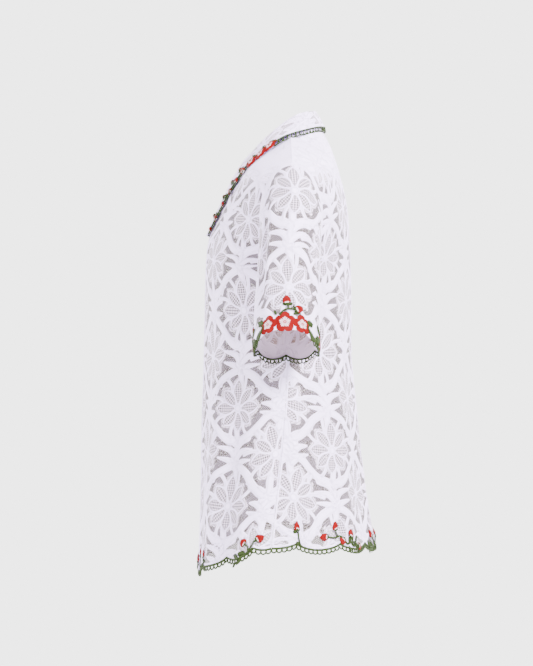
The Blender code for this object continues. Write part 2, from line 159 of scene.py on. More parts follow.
class Finish:
    def __init__(self, name):
        self.material = bpy.data.materials.new(name)
        self.material.use_nodes = True
        self.tree = self.material.node_tree
        self.shader = self.tree.nodes["Principled BSDF"]

    def node(self, kind, settings=None, sockets=None):
        made = self.tree.nodes.new(kind)
        for name, setting in (settings or {}).items():
            setattr(made, name, setting)
        for name, value in (sockets or {}).items():
            self.plug(made.inputs[name], value)
        return made

    def plug(self, socket, value):
        if isinstance(value, Value):
            value = value.socket
        if isinstance(value, bpy.types.NodeSocket):
            self.tree.links.new(value, socket)
        elif hasattr(value, "__len__") and len(value) == 3 and socket.type == "RGBA":
            socket.default_value = (*value, 1)
        else:
            socket.default_value = value

    def value(self, socket):
        return Value(self, socket)

    def attribute(self, name):
        return self.node("ShaderNodeAttribute", {"attribute_name": name})

    def parts(self, name):
        split = self.node("ShaderNodeSeparateXYZ", None,
                          {0: self.attribute(name).outputs["Vector"]})
        return [self.value(split.outputs[i]) for i in range(3)]

    def noise(self, scale, detail=3.0):
        place = self.node("ShaderNodeTexCoord").outputs["Object"]
        made = self.node("ShaderNodeTexNoise", None,
                         {"Vector": place, "Scale": scale, "Detail": detail})
        return self.value(made.outputs["Fac"])

    def mix(self, share, first, second):
        made = self.node("ShaderNodeMix", {"data_type": "RGBA"},
                         {0: share, 6: first, 7: second})
        return made.outputs[2]

    def bump(self, height, distance, strength=1.0):
        made = self.node("ShaderNodeBump", None,
                         {"Height": height, "Distance": distance, "Strength": strength})
        self.plug(self.shader.inputs["Normal"], made.outputs["Normal"])


laceFinish = {
    "ribbon": (0.790, 0.665, 0.985),
    # the net is a darker colour than the ribbons: painted shade between its threads
    "net": (0.600, 0.495, 0.660),
    "shade": (0.560, 0.470, 0.620),
    "deep": (0.070, 0.054, 0.051),     # painted shade between the threads and under a ribbon's edge
    "inside": (0.290, 0.180, 0.150),   # painted shade, warm, on the sleeve's wall that faces the body
    "roughness": 0.82,
    "gloss": 0.2,
    "sheen": 0.08,
    "relief": 0.0009,
    "holeRadius": 0.19,        # of the distance from hole to hole
    "holeShadeRadius": 0.57,        # the painted shade round each hole
    "stitchPitch": 1.3,        # millimetres
}


def makeLaceFinish():
    lace = Finish("laceCotton")
    solid = lace.value(lace.attribute("solid").outputs["Fac"])
    across, along, openness = lace.parts("hole")
    cellX = across.fraction() - 0.5
    cellY = along.fraction() - 0.5
    away = (cellX * cellX + cellY * cellY).power(0.5)
    radius = openness * laceFinish["holeRadius"]
    hole = (radius - away).ramp(-0.02, 0.02)
    window = (0.0 - solid).ramp(-0.05, 0.25)
    lace.plug(lace.shader.inputs["Alpha"], 1.0 - hole * window)

    stitchAlong, _, sleeveShade = lace.parts("grain")
    stitches = (stitchAlong * (2 * math.pi / laceFinish["stitchPitch"])).sine() * 0.5 + 0.5
    fibres = lace.noise(1400.0)
    clouds = lace.noise(26.0, 4.0)
    raised = solid.ramp(0.0, 1.6)
    rope = (away - radius).ramp(0.0, 0.14)
    height = raised * (0.75 + stitches * 0.25) + (1.0 - raised) * rope * 0.5 + fibres * 0.22
    lace.bump(height, laceFinish["relief"])

    worn = (clouds - 0.35) * 0.5
    # the net's darker colour is painted shade between its threads
    edge = solid.ramp(-0.4, 0.9)
    cloth = lace.mix(edge, laceFinish["net"], laceFinish["ribbon"])
    grey = (worn + stitches * 0.10 * raised).higher(0.0).lower(1.0)
    cloth = lace.mix(grey, cloth, laceFinish["shade"])
    # painted shade: a deep tone round each hole, under each ribbon's edge and along the line
    # inside its cord
    paintedHoleShade = (openness * laceFinish["holeShadeRadius"] - away).ramp(-0.06, 0.06) * window
    paintedEdgeShade = (solid + 1.5).lower(0.5 - solid).ramp(0.0, 0.9) * 0.45
    paintedCordShade = (solid - 1.5).lower(3.1 - solid).ramp(0.0, 0.7) * 0.16   # painted shade line inside a ribbon's cord
    cloth = lace.mix(paintedHoleShade.higher(paintedEdgeShade).higher(paintedCordShade), cloth, laceFinish["deep"])
    # painted shade on the sleeve's wall that faces the body, near the cuff
    cloth = lace.mix(sleeveShade, cloth, laceFinish["inside"])
    lace.plug(lace.shader.inputs["Base Color"], cloth)
    lace.plug(lace.shader.inputs["Roughness"], fibres * 0.12 + (laceFinish["roughness"] - 0.06))
    lace.shader.inputs["Sheen Weight"].default_value = laceFinish["sheen"]
    lace.shader.inputs["Specular IOR Level"].default_value = laceFinish["gloss"]
    return lace.material


threadFinish = {
    "greenDark": (0.0110, 0.0180, 0.0045),
    "greenLight": (0.0320, 0.0500, 0.0130),
    "redDeep": (0.090, 0.0003, 0.0006),
    "redLight": (0.165, 0.0005, 0.0012),
    "pink": (0.42, 0.07, 0.09),
    "white": (0.78, 0.66, 0.74),
    "pitch": 0.9,              # millimetres from thread to thread
    "gloss": 0.08,
    "relief": 0.0004,
}


def makeThreadFinish(name, dark, light, petals):
    thread = Finish(name)
    along, _, tone = thread.parts("grain")
    lines = (along * (2 * math.pi / threadFinish["pitch"])).sine() * 0.5 + 0.5
    fibres = thread.noise(2200.0)
    clouds = thread.noise(160.0)
    # lighter on each raised thread and darker in the grooves between: painted shade, with random
    # cloudy tone on top
    colour = thread.mix((lines * 0.45 + clouds * 0.6).lower(1.0), dark, light)
    if petals:
        colour = thread.mix(tone.ramp(0.30, 0.55), colour, threadFinish["pink"])
        colour = thread.mix(tone.ramp(0.55, 0.80), colour, threadFinish["white"])
    thread.plug(thread.shader.inputs["Base Color"], colour)
    thread.plug(thread.shader.inputs["Roughness"], 0.46 + fibres * 0.22)
    thread.shader.inputs["Specular IOR Level"].default_value = threadFinish["gloss"]
    thread.bump(lines * 0.7 + fibres * 0.3, threadFinish["relief"], 0.9)
    return thread.material


def makeFloorFinish(floor):
    plaster = Finish("palePlaster")
    speckle = plaster.noise(14.0, 5.0)
    plaster.plug(plaster.shader.inputs["Base Color"],
                 plaster.mix(speckle, (0.74, 0.74, 0.74), (0.80, 0.80, 0.80)))
    plaster.plug(plaster.shader.inputs["Roughness"], 0.75 + speckle * 0.15)
    floor.data.materials.append(plaster.material)



form = {
    "seat": 0.0005,            # the cloth lies this far inside the solid's outer face
    "seamGap": 0.0002,         # on each side of a seam between panels
    "sleeveGap": 0.0004,       # between sleeve and panels
    "neckPoint": np.array([0.078, 0.008, 0.020]),
    "shoulderPoint": np.array([0.198, 0.008, -0.038]),
    "underarm": np.array([0.183, 0.008, -0.195]),
    "armholeWaist": 0.1680,
    "armholeHalfDepth": 0.047,
    "backNeckY": 0.056,
    "backNeckZ": 0.036,
    "backNeckShare": 0.4,
    "cuffCentre": np.array([0.234, 0.0, -0.311]),
    "cuffHalfWidth": 0.0525,
    "cuffHalfDepth": 0.049,
    "cuffTilt": math.radians(16),
    "underarmLevel": 5,
    "hemLobe": 0.009,
    "hemLobes": 3.5,           # across each half panel
    "hemEase": 0.030,          # how far up the cloth the lobes ease out
    "cuffLobe": 0.0085,
    "cuffLobes": 6,
    "cuffEase": 0.020,
    "cuffCut": 0.030,          # how much shorter the sleeve is under the outer flowers
    "sprayTurn": 0.49,         # where those flowers are, and how far they reach
    "sprayReach": 0.135,
    "gridStep": 0.0022,
    "gridWidth": 0.262,        # of half a panel
    "sleeveGrid": (0.37, 0.285),   # round and along
}

# height and depth of the centre line, degrees turned to the side edge, half neck opening
frontTable = np.array([
    (-0.668, -0.1390, 90, 0.0),
    (-0.565, -0.1355, 90, 0.0),
    (-0.455, -0.1340, 90, 0.0),
    (-0.350, -0.1305, 90, 0.0),
    (-0.265, -0.1285, 90, 0.0),
    (-0.190, -0.1265, 90, 0.0),
    (-0.144, -0.1215, 76, 0.0),
    (-0.100, -0.1040, 68, 0.017),
    (-0.053, -0.0825, 62, 0.042),
    (-0.006, -0.0550, 50, 0.066),
    (0.0577, 0.008, 2, 0.078),
])
backTable = np.array([
    (-0.622, 0.1430, 90, 0.0),
    (-0.560, 0.1300, 90, 0.0),
    (-0.455, 0.1190, 90, 0.0),
    (-0.350, 0.1080, 90, 0.0),
    (-0.265, 0.1060, 90, 0.0),
    (-0.190, 0.1050, 90, 0.0),
    (-0.140, 0.1030, 80, 0.0),
    (-0.090, 0.0985, 74, 0.0),
    (-0.042, 0.0880, 68, 0.0),
    (0.002, 0.0735, 60, 0.0),
])
sideSeam = np.array([
    (0.203, -0.022, -0.606),
    (0.196, -0.014, -0.540),
    (0.185, -0.004, -0.450),
    (0.172, 0.002, -0.350),
    (0.174, 0.006, -0.265),
    (0.183, 0.008, -0.195),
])

# soft folds: place across at the top and at the hem, half width, first height, how proud
frontFolds = [
    (0.47, 0.41, 0.09, -0.180, 0.0078),
    (0.63, 0.57, 0.10, -0.200, -0.0062),
    (0.88, 0.84, 0.10, -0.300, 0.0025),
    (0.18, 0.14, 0.10, -0.280, -0.0025),
    (0.30, 0.24, 0.05, -0.330, 0.0018),
    (0.72, 0.73, 0.035, -0.430, 0.0022),
]
backFolds = [
    (0.24, 0.28, 0.12, -0.260, -0.0040),
    (0.46, 0.50, 0.11, -0.240, 0.0045),
    (0.70, 0.72, 0.12, -0.300, -0.0040),
    (0.88, 0.87, 0.09, -0.380, 0.0025),
    (0.60, 0.66, 0.04, -0.420, 0.0018),
    (0.10, 0.08, 0.05, -0.400, 0.0020),
]
# short slanting creases: across and height of the middle, half length across and up, depth
frontCreases = [(0.86, -0.235, 0.10, 0.018, 0.0022), (0.70, -0.262, 0.14, 0.010, 0.0016),
                (0.90, -0.330, 0.09, 0.012, 0.0014), (0.30, -0.150, 0.13, 0.010, 0.0014)]
backCreases = [(0.84, -0.245, 0.12, 0.014, 0.0020), (0.55, -0.300, 0.18, 0.010, 0.0013),
               (0.72, -0.120, 0.12, 0.012, 0.0014), (0.30, -0.345, 0.16, 0.009, 0.0012)]
sleeveFolds = [  # turn, half width, how deep, how far down it begins and ends
    (0.330, 0.040, 0.0075, 0.0, 0.90),
    (0.395, 0.024, -0.0022, 0.05, 0.80),
    (0.150, 0.040, 0.0026, 0.05, 0.95),
    (0.640, 0.030, 0.0016, 0.25, 0.95),
    (0.740, 0.040, 0.0028, 0.02, 0.80),
    (0.880, 0.035, 0.0022, 0.05, 0.90),
]


def splineAt(values, place):
    index = min(max(int(math.floor(place)), 0), len(values) - 2)
    part = place - index
    here, after = values[index], values[index + 1]
    before = values[index - 1] if index > 0 else 2 * here - after
    beyond = values[index + 2] if index + 2 < len(values) else 2 * after - here
    slopeHere = (after - before) / 2
    slopeAfter = (beyond - here) / 2
    rise = after - here
    return (here + slopeHere * part + (3 * rise - 2 * slopeHere - slopeAfter) * part ** 2
            + (slopeHere + slopeAfter - 2 * rise) * part ** 3)


def smooth(value):
    value = np.clip(value, 0.0, 1.0)
    return value * value * (3 - 2 * value)


def unit(vectors):
    return vectors / np.maximum(np.linalg.norm(vectors, axis=-1, keepdims=True), 1e-12)


def armholeAt(share, way):
    share = np.asarray(share, float)
    angle = math.pi * (share - 0.5)
    top, low = form["shoulderPoint"], form["underarm"]
    rest = 1 - share
    x = rest ** 2 * low[0] + 2 * share * rest * form["armholeWaist"] + share ** 2 * top[0]
    y = top[1] + way * form["armholeHalfDepth"] * np.cos(angle)
    z = low[2] + (top[2] - low[2]) / 2 * (1 + np.sin(angle))
    return np.stack([x, y, z], -1)


def panelRow(table, level, across, way):
    under, top = form["underarmLevel"], len(frontTable) - 1
    if level <= under:
        edge = splineAt(sideSeam, level)
    else:
        edge = armholeAt((level - under) / (top - under), way)
    zMid, yMid, turn, opening = splineAt(table, level)
    turn = math.radians(turn)
    opening = opening if level > under + 1 else 0.0
    first = math.asin(opening / edge[0] * math.sin(turn)) / turn
    share = first + (1 - first) * across
    bend = (1 - np.cos(share * turn)) / (1 - math.cos(turn))
    return np.stack([edge[0] * np.sin(share * turn) / math.sin(turn),
                     yMid + (edge[1] - yMid) * bend,
                     zMid + (edge[2] - zMid) * share], -1)


def backTop(across):
    neck, share = form["neckPoint"], form["backNeckShare"]
    angle = math.pi / 2 * np.minimum(across / share, 1.0)
    curve = np.stack([neck[0] * np.sin(angle),
                      neck[1] + (form["backNeckY"] - neck[1]) * np.cos(angle),
                      neck[2] + (form["backNeckZ"] - neck[2]) * np.cos(angle)], -1)
    along = np.clip((across - share) / (1 - share), 0, 1)[:, None]
    seam = neck + (form["shoulderPoint"] - neck) * along
    return np.where((across <= share)[:, None], curve, seam)


def frontRow(level, across):
    return panelRow(frontTable, level, across, -1)


def backRow(level, across):
    last = len(backTable) - 1
    if level <= last - 1:
        return panelRow(backTable, level, across, 1)
    rows = [panelRow(backTable, place, across, 1) for place in (last - 2, last - 1, last)]
    return splineAt(rows + [backTop(across)], level - (last - 2))


def gridNormals(points):
    up = np.gradient(points, axis=0)
    over = np.gradient(points, axis=1)
    return unit(np.cross(over, up))


def normalsFacing(points, guide):
    normals = gridNormals(points)
    return normals * np.sign(np.sum(normals * guide, -1, keepdims=True))


def foldHeight(folds, creases, across, height):
    total = np.zeros_like(height)
    hem = frontTable[0][0]
    for placeTop, placeHem, halfWidth, start, proud in folds:
        down = (start - height) / (start - hem)
        place = placeTop + (placeHem - placeTop) * np.maximum(down, 0.0)
        total += proud * smooth(down * 1.6) * np.exp(-((across - place) / halfWidth) ** 2)
    for middle, level, halfAcross, halfUp, depth in creases:
        slant = (height - level) - (across - middle) * 0.16
        total -= depth * np.exp(-((across - middle) / halfAcross) ** 2 - (slant / halfUp) ** 2)
    return total


def evenLevels(rowAt, top, step):
    # levels a cloth's step apart, measured halfway across
    fine = np.linspace(0, top, 400)
    middle = np.array([rowAt(level, np.array([0.55]))[0] for level in fine])
    run = np.concatenate([[0], np.cumsum(np.linalg.norm(np.diff(middle, axis=0), axis=1))])
    return np.interp(np.linspace(0, run[-1], int(run[-1] / step) + 1), run, fine)


def lengths(points, axis):
    steps = np.linalg.norm(np.diff(points, axis=axis), axis=-1)
    run = np.cumsum(steps, axis=axis)
    first = np.zeros_like(run[:1] if axis == 0 else run[:, :1])
    return np.concatenate([first, run], axis=axis)


def panelCloth(rowAt, folds, creases, front):
    # half a panel, from its centre line to the left side edge
    top = len(frontTable) - 1
    levels = evenLevels(rowAt, top, form["gridStep"])
    across = np.linspace(0, 1, int(form["gridWidth"] / form["gridStep"]) + 1)
    points = np.array([rowAt(level, across) for level in levels])
    outside = np.array([0, -1 if front else 1, 0]) + points * np.array([9, 0, 0]) + [0, 0, 0.3]
    normals = normalsFacing(points, outside)
    spread = np.broadcast_to(across, points.shape[:2])
    fade = 1 - smooth((spread - 0.92) / 0.08)
    height = foldHeight(folds, creases, spread, points[..., 2]) * fade
    points = points + normals * (height - form["seat"])[..., None]
    lobe = form["hemLobe"] * np.sin(math.pi * ((across * form["hemLobes"]) % 1.0)) ** 0.7
    fall = smooth(1 - lengths(points, 0) / form["hemEase"])
    points[..., 2] -= fall * lobe
    if front:
        points[levels <= form["underarmLevel"] + 1, 0, 0] += form["seamGap"]
    points[levels <= form["underarmLevel"], -1, 1] += form["seamGap"] * (-1 if front else 1)
    flatU = lengths(points, 1) + points[:, :1, 0]
    waist = int(np.argmin(np.abs(levels - 3)))
    flatV = lengths(points, 0)
    return {"points": points, "normals": normalsFacing(points, normals), "u": flatU,
            "v": flatV - flatV[waist], "across": spread}


def bothHalves(cloth):
    # the back: its left half and that half's reflection, in one sheet
    flip = np.array([-1, 1, 1])
    joined = {}
    for key, sign in (("points", flip), ("normals", flip), ("u", -1), ("v", 1), ("across", -1)):
        joined[key] = np.concatenate([cloth[key][:, :0:-1] * sign, cloth[key]], axis=1)
    return joined


def cuffAt(angle, way):
    tilt = form["cuffTilt"]
    across = np.array([math.cos(tilt), 0, math.sin(tilt)])
    return (form["cuffCentre"] + across * (form["cuffHalfWidth"] * np.sin(angle))[:, None]
            + np.array([0, 1, 0]) * (way * form["cuffHalfDepth"] * np.cos(angle))[:, None])


def sleeveRow(turn, along):
    way = np.where(turn <= 0.5, -1.0, 1.0)
    share = np.where(turn <= 0.5, turn * 2, 2 - turn * 2)
    angle = math.pi * (share - 0.5)
    start = armholeAt(share, way) + [form["sleeveGap"], 0, 0]
    end = cuffAt(angle, way)
    outer = (1 + np.sin(angle)) / 2
    leave = unit(np.stack([0.96 - 0.16 * outer, outer * 0, -0.28 - 0.32 * outer], -1))
    axis = np.array([math.sin(form["cuffTilt"]), 0, -math.cos(form["cuffTilt"])])
    reach = (0.030 + 0.070 * outer)[:, None]
    first, second = start + leave * reach, end - axis * reach
    rest, part = (1 - along)[:, None], along[:, None]
    points = (start * rest ** 3 + first * 3 * rest ** 2 * part
              + second * 3 * rest * part ** 2 + end * part ** 3)
    depth = np.zeros_like(turn)
    for place, halfWidth, deep, begins, ends in sleeveFolds:
        run = np.clip((along - begins) / (ends - begins), 0.0, 1.0)
        depth += deep * np.exp(-((turn - place) / halfWidth) ** 2) * np.sin(math.pi * run) ** 0.8
    inward = form["cuffCentre"] - points
    inward[:, 2] = 0
    return points + unit(inward) * depth[:, None]


def sleeveCloth():
    girth, length = form["sleeveGrid"]
    turn = np.linspace(0, 1, int(girth / form["gridStep"]) + 1)
    rows = int(length / form["gridStep"])
    flowers = np.exp(-((turn - form["sprayTurn"]) / form["sprayReach"]) ** 6)
    reach = 1 - form["cuffCut"] * flowers
    points = np.array([sleeveRow(turn, reach * (1 - i / rows)) for i in range(rows + 1)])
    axis = np.array([math.sin(form["cuffTilt"]), 0, -math.cos(form["cuffTilt"])])
    lobe = form["cuffLobe"] * np.abs(np.sin(math.pi * turn * form["cuffLobes"])) ** 0.7
    lobe = lobe * (1 - flowers)   # a flat rim under the flowers
    fall = smooth(1 - lengths(points, 0) / form["cuffEase"])
    points += axis * (fall * lobe)[..., None]
    normals = normalsFacing(points, points - points.mean(axis=1, keepdims=True))
    points -= normals * form["seat"]
    flatU = lengths(points, 1)
    flatU = flatU - flatU[:, [len(turn) // 2]]
    spread = np.broadcast_to(turn, points.shape[:2])
    return {"points": points, "normals": normals, "u": flatU, "v": lengths(points, 0),
            "across": spread}



# One repeat, in millimetres: flowers at (0, 0) and half a repeat over and up
drawing = {
    "width": 156.0,
    "height": 150.0,
    "petals": [(92, 47, 24), (47, 42, 22), (1, 44, 24), (-42, 39, 22), (-88, 37, 23),
               (-134, 39, 22), (-178, 43, 24), (136, 41, 22)],   # degrees, length, width
    "secondTurn": 14.0,
    "spokes": [70, 24, -65, -111, -156, 158, 113],   # bars between the petals, degrees
    "spoke": (2.9, 27, 40, 58),   # half width, then its way out from the heart
    "spokeBend": 7,               # degrees, at its outer end
    "heart": 7.5,
    "rim": 3.2,
    "ladder": (3.6, 4.2),         # hole spacing along and across a petal
    "netPitch": 3.4,
    "netHoles": 122,              # in each ring round a flower
    "petalOpenness": 0.70,
    "ribbons": [               # half width, then its points
        (5.6, [(4, 40), (2, 56), (-3, 74), (1, 92), (-2, 118)]),
        (5.0, [(1, 56), (12, 65), (34, 68)]),
        (5.2, [(-2, 70), (13, 81), (36, 84)]),
        (4.6, [(0, 86), (12, 95), (30, 98)]),
        (5.0, [(0, 56), (-13, 67), (-35, 71)]),
        (5.2, [(-2, 72), (-14, 84), (-37, 88)]),
        (4.2, [(0, 91), (-11, 102), (-27, 110)]),
        (6.4, [(-7, 67), (14, 57), (32, 47), (47, 31), (65, 18), (88, 11)]),
        (6.0, [(6, 63), (-12, 58), (-34, 45), (-47, 31), (-64, 20), (-86, 8)]),
        (6.2, [(-5, 95), (14, 101), (31, 108), (47, 120), (62, 134), (85, 140)]),
        (6.4, [(4, 99), (-16, 98), (-33, 109), (-46, 121), (-64, 131), (-84, 145)]),
        (5.6, [(80, -36), (80, -20), (75, -2), (79, 16), (76, 40)]),
        (5.0, [(78, -24), (66, -14), (49, -9)]),
        (5.0, [(77, -8), (64, 2), (50, 5)]),
        (5.0, [(78, -22), (91, -11), (107, -7)]),
        (5.0, [(77, -4), (92, 7), (108, 10)]),
        (4.2, [(78, 14), (90, 24), (102, 29)]),
        (4.2, [(78, 12), (66, 23), (55, 29)]),
    ],
    "leaves": [                # half width at the widest
        (5.0, [(38, 40), (44, 31), (46, 22)]),
        (5.0, [(-40, 38), (-45, 30), (-47, 20)]),
        (4.6, [(36, 113), (45, 107), (50, 98)]),
        (4.8, [(-36, 113), (-46, 108), (-51, 99)]),
    ],
}


def curveThrough(points, steps):
    points = np.array(points, float)
    places = np.linspace(0, len(points) - 1, (len(points) - 1) * steps + 1)
    return np.array([splineAt(points, place) for place in places])


def tileCopies(low, high, margin):
    # shifts that bring a shape with these corners over the repeat
    shifts = []
    for i in (-1, 0, 1):
        for j in (-1, 0, 1):
            dx, dy = i * drawing["width"], j * drawing["height"]
            overX = low[0] + dx < drawing["width"] + margin and high[0] + dx > -margin
            overY = low[1] + dy < drawing["height"] + margin and high[1] + dy > -margin
            if overX and overY:
                shifts.append(np.array([dx, dy]))
    return shifts


def ribbonDistance(x, y, line, halfWidths):
    # how far inside a ribbon each point is, and its place along
    best = np.full(x.shape, -1e9)
    place = np.zeros(x.shape)
    run = 0.0
    for a, b, wide in zip(line[:-1], line[1:], halfWidths):
        step = b - a
        size = np.linalg.norm(step)
        share = np.clip(((x - a[0]) * step[0] + (y - a[1]) * step[1]) / size ** 2, 0, 1)
        away = np.hypot(x - a[0] - share * step[0], y - a[1] - share * step[1])
        inside = wide - away
        closer = inside > best
        best = np.where(closer, inside, best)
        place = np.where(closer, run + share * size, place)
        run += size
    return best, place


def drawLace(u, v, originU, originV):
    # the drawing at flat places on the cloth, all in metres
    x = (u - originU) * 1000
    y = (v - originV) * 1000
    warpX = x + 3.5 * np.sin(y / 33.0 + 0.8) + 2.5 * np.sin(x / 41.0 + y / 57.0)
    warpY = y + 3.0 * np.sin(x / 37.0 + 1.9) + 2.0 * np.sin(y / 47.0 - x / 71.0)
    x = warpX % drawing["width"]
    y = warpY % drawing["height"]

    solid = np.full(x.shape, -50.0)
    grain = x.copy()
    hearts = [(np.array([0.0, 0.0]), 0.0),
              (np.array([drawing["width"], drawing["height"]]) / 2, drawing["secondTurn"])]
    spokeWide, *reaches = drawing["spoke"]
    spokes = []
    for centre, lean in hearts:
        for degrees in drawing["spokes"]:
            angles = [math.radians(degrees + lean + bend)
                      for bend in (0, 0, drawing["spokeBend"])]
            spokes.append((spokeWide, [centre + reach * np.array([math.cos(a), math.sin(a)])
                                       for reach, a in zip(reaches, angles)]))
    for kind in ("ribbons", "leaves", "spokes"):
        for halfWidth, points in spokes if kind == "spokes" else drawing[kind]:
            line = curveThrough(points, 4 if kind == "ribbons" else 6)
            share = np.linspace(0, 1, len(line) - 1)
            wide = np.full(len(share), halfWidth)
            if kind == "ribbons" and len(points) == 3:
                wide = halfWidth * (1.12 - 0.72 * share ** 2)   # side bands narrow to a point
            if kind == "leaves":
                wide = halfWidth * np.sin(math.pi * (0.12 + 0.84 * share)) ** 0.8
            for shift in tileCopies(line.min(0), line.max(0), 14):
                inside, place = ribbonDistance(x, y, line + shift, wide)
                closer = inside > solid
                solid = np.where(closer, inside, solid)
                grain = np.where(closer, place, grain)

    # a net whose rows run round the nearest flower
    nearest = np.full(x.shape, 1e9)
    holeA, holeB = x * 0, y * 0
    heartList = [(centre + shift, lean) for centre, lean in hearts
                 for shift in tileCopies(centre - 60, centre + 60, 0)]
    for centre, _ in heartList:
        dx, dy = x - centre[0], y - centre[1]
        away = np.hypot(dx, dy)
        closer = away < nearest
        nearest = np.where(closer, away, nearest)
        angle = np.arctan2(dy, dx)
        holeA = np.where(closer, angle / (2 * math.pi) * drawing["netHoles"], holeA)
        holeB = np.where(closer, away / drawing["netPitch"], holeB)
    openness = np.ones(x.shape)
    nearPetal = np.full(x.shape, -50.0)

    rim = drawing["rim"]
    start = drawing["heart"] * 0.6
    for centre, lean in heartList:
        dx, dy = x - centre[0], y - centre[1]
        if np.hypot(dx, dy).min() >= 62:   # none of the cloth is near
            continue
        for degrees, reach, width in drawing["petals"]:
            a = math.radians(degrees + lean)
            s = dx * math.cos(a) + dy * math.sin(a)
            t = -dx * math.sin(a) + dy * math.cos(a)
            run = np.clip((s - start) / (reach - start), 0, 1)
            half = width / 2 * np.sin(math.pi * run ** 1.1) ** 0.70
            before = np.maximum(np.maximum(start - s, s - reach), 0)
            out = (half - np.abs(t)) * 0.86 - before
            out = np.where(before > 0, -np.hypot(before, t), out)
            band = np.minimum(out, rim - out)
            inPetal = out > rim / 2
            around = np.minimum(solid, rim - out + 50 * (out < 0))
            solid = np.where(inPetal, band, np.maximum(around, band))
            holeA = np.where(inPetal, s / drawing["ladder"][0], holeA)
            holeB = np.where(inPetal, t / drawing["ladder"][1] + 0.5, holeB)
            openness = np.where(inPetal, drawing["petalOpenness"], openness)
            nearPetal = np.maximum(nearPetal, out)
            grain = np.where((out > 0) & (out <= rim), s, grain)
        solid = np.maximum(solid, drawing["heart"] - np.hypot(dx, dy))
    # close-woven just outside the petals, open in the windows beyond
    close = smooth((nearPetal + 4.3) / 1.6) * (nearPetal < 0)
    openness = openness * (1 - 0.75 * close)
    return solid, holeA, holeB, openness, grain



def addAttribute(mesh, name, kind, values):
    layer = mesh.attributes.new(name, kind, "POINT")
    field = "value" if kind == "FLOAT" else "vector"
    layer.data.foreach_set(field, np.ascontiguousarray(values, np.float32).ravel())


def addPiece(name, points, faces, material, nodes, mirror=False):
    mesh = bpy.data.meshes.new(name)
    points = np.asarray(points, float).reshape(-1, 3)
    if mirror:
        points = points * [-1, 1, 1]
        faces = [face[::-1] for face in faces]
    mesh.from_pydata(points.tolist(), [], faces)
    mesh.materials.append(material)
    mesh.shade_smooth()
    mesh.update()
    piece = bpy.data.objects.new(name, mesh)
    bpy.context.scene.collection.objects.link(piece)
    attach(piece, "root")
    if nodes:
        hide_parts(*nodes)
    return piece


def gridFaces(rows, columns):
    faces = []
    for i in range(rows - 1):
        base = i * columns
        for j in range(columns - 1):
            faces.append((base + j, base + j + 1, base + columns + j + 1, base + columns + j))
    return faces


laceRelief = {
    "ribbon": 0.0008,          # over the net
    "cord": 0.0003,            # and over the ribbon, at its middle
}
# the drawing's place on each flat cloth, and how wide the close-woven strips are along
# its hem, top, first and last columns
lacePlaces = {
    "back": ((0.165, -0.120), (0.004, 0.004, 0.0025, 0.0025)),
    "front": ((0.165, -0.056), (0.004, 0.004, 0.005, 0.0025)),
    "sleeve": ((0.004, 0.066), (0.020, 0.006, 0.004, 0.004)),
    "collar": ((0.0, 0.020), (0.003, 0.003, 0.003, 0.003)),
}


def layLace(name, kind, cloth, material, nodes, plain=None, mirror=False, sleeveShade=0):
    # plain: how far the drawing fades into plain cloth; the last: how much painted shade its
    # colour gets, where it loses light
    u, v = cloth["u"], cloth["v"]
    origin, bands = lacePlaces[kind]
    solid, holeA, holeB, openness, grain = drawLace(u, v, *origin)
    edges = ((v - v[:1]), (v[-1:] - v), (u - u[:, :1]), (u[:, -1:] - u))
    for away, wide in zip(edges, bands):
        solid = np.maximum(solid, (wide - away) * 1000)
    if plain is not None:
        openness = openness * (1 - plain)
        solid = np.clip(solid, -6, 6) * (1 - plain) + 4.0 * plain
    relief = (laceRelief["ribbon"] * smooth(solid / 2.2)
              + laceRelief["cord"] * smooth((solid - 2.0) / 4.0))
    points = cloth["points"] + cloth["normals"] * relief[..., None]
    faces = gridFaces(*u.shape)
    first = points[:2, :2].reshape(-1, 3)
    facing = np.cross(first[1] - first[0], first[2] - first[0])
    if np.dot(facing, cloth["normals"][0, 0]) < 0:
        faces = [face[::-1] for face in faces]
    piece = addPiece(name, points, faces, material, nodes, mirror)
    addAttribute(piece.data, "solid", "FLOAT", solid)
    addAttribute(piece.data, "hole", "FLOAT_VECTOR", np.stack([holeA, holeB, openness], -1))
    # the third part carries the painted shade of the sleeve's wall that faces the body
    grain = np.stack([grain, grain * 0, grain * 0 + sleeveShade], -1)
    addAttribute(piece.data, "grain", "FLOAT_VECTOR", grain)
    size = max(u.max() - u.min(), v.max() - v.min()) * 1.02
    flat = np.stack([(u - u.min()) / size + 0.01, (v - v.min()) / size + 0.01], -1)
    layer = piece.data.uv_layers.new(name="OFBake")
    corners = np.zeros(len(piece.data.loops), np.int32)
    piece.data.loops.foreach_get("vertex_index", corners)
    layer.data.foreach_set("uv", flat.reshape(-1, 2)[corners].astype(np.float32).ravel())
    cells = np.abs((u[:-1, 1:] - u[:-1, :-1]) * (v[1:, :-1] - v[:-1, :-1]))
    piece["cutArea"] = float(cells.sum())
    piece["cutSize"] = (float(u.max() - u.min()), float(v.max() - v.min()))
    return piece



# place on the neckline (-1 centre back, 0 neck point, then down the fronts), the fold
# (x, y, z) and the outer edge (x, y, z)
collarTable = np.array([
    (-1.00, 0.000, 0.0500, 0.0610, 0.0000, 0.0690, 0.0340),
    (-0.50, 0.046, 0.0370, 0.0560, 0.0660, 0.0430, 0.0260),
    (0.00, 0.067, 0.0080, 0.0430, 0.1010, 0.0040, 0.0130),
    (0.30, 0.069, -0.0110, 0.0300, 0.1070, -0.0180, 0.0010),
    (0.65, 0.063, -0.0330, 0.0120, 0.1040, -0.0360, -0.0125),
    (1.00, 0.054, -0.0530, -0.0080, 0.0940, -0.0510, -0.0280),
    (1.55, 0.041, -0.0720, -0.0310, 0.0780, -0.0650, -0.0500),
    (2.55, 0.023, -0.0960, -0.0750, 0.0500, -0.0910, -0.0850),
    (3.92, 0.0015, -0.1235, -0.1385, 0.0140, -0.1220, -0.1380),
])
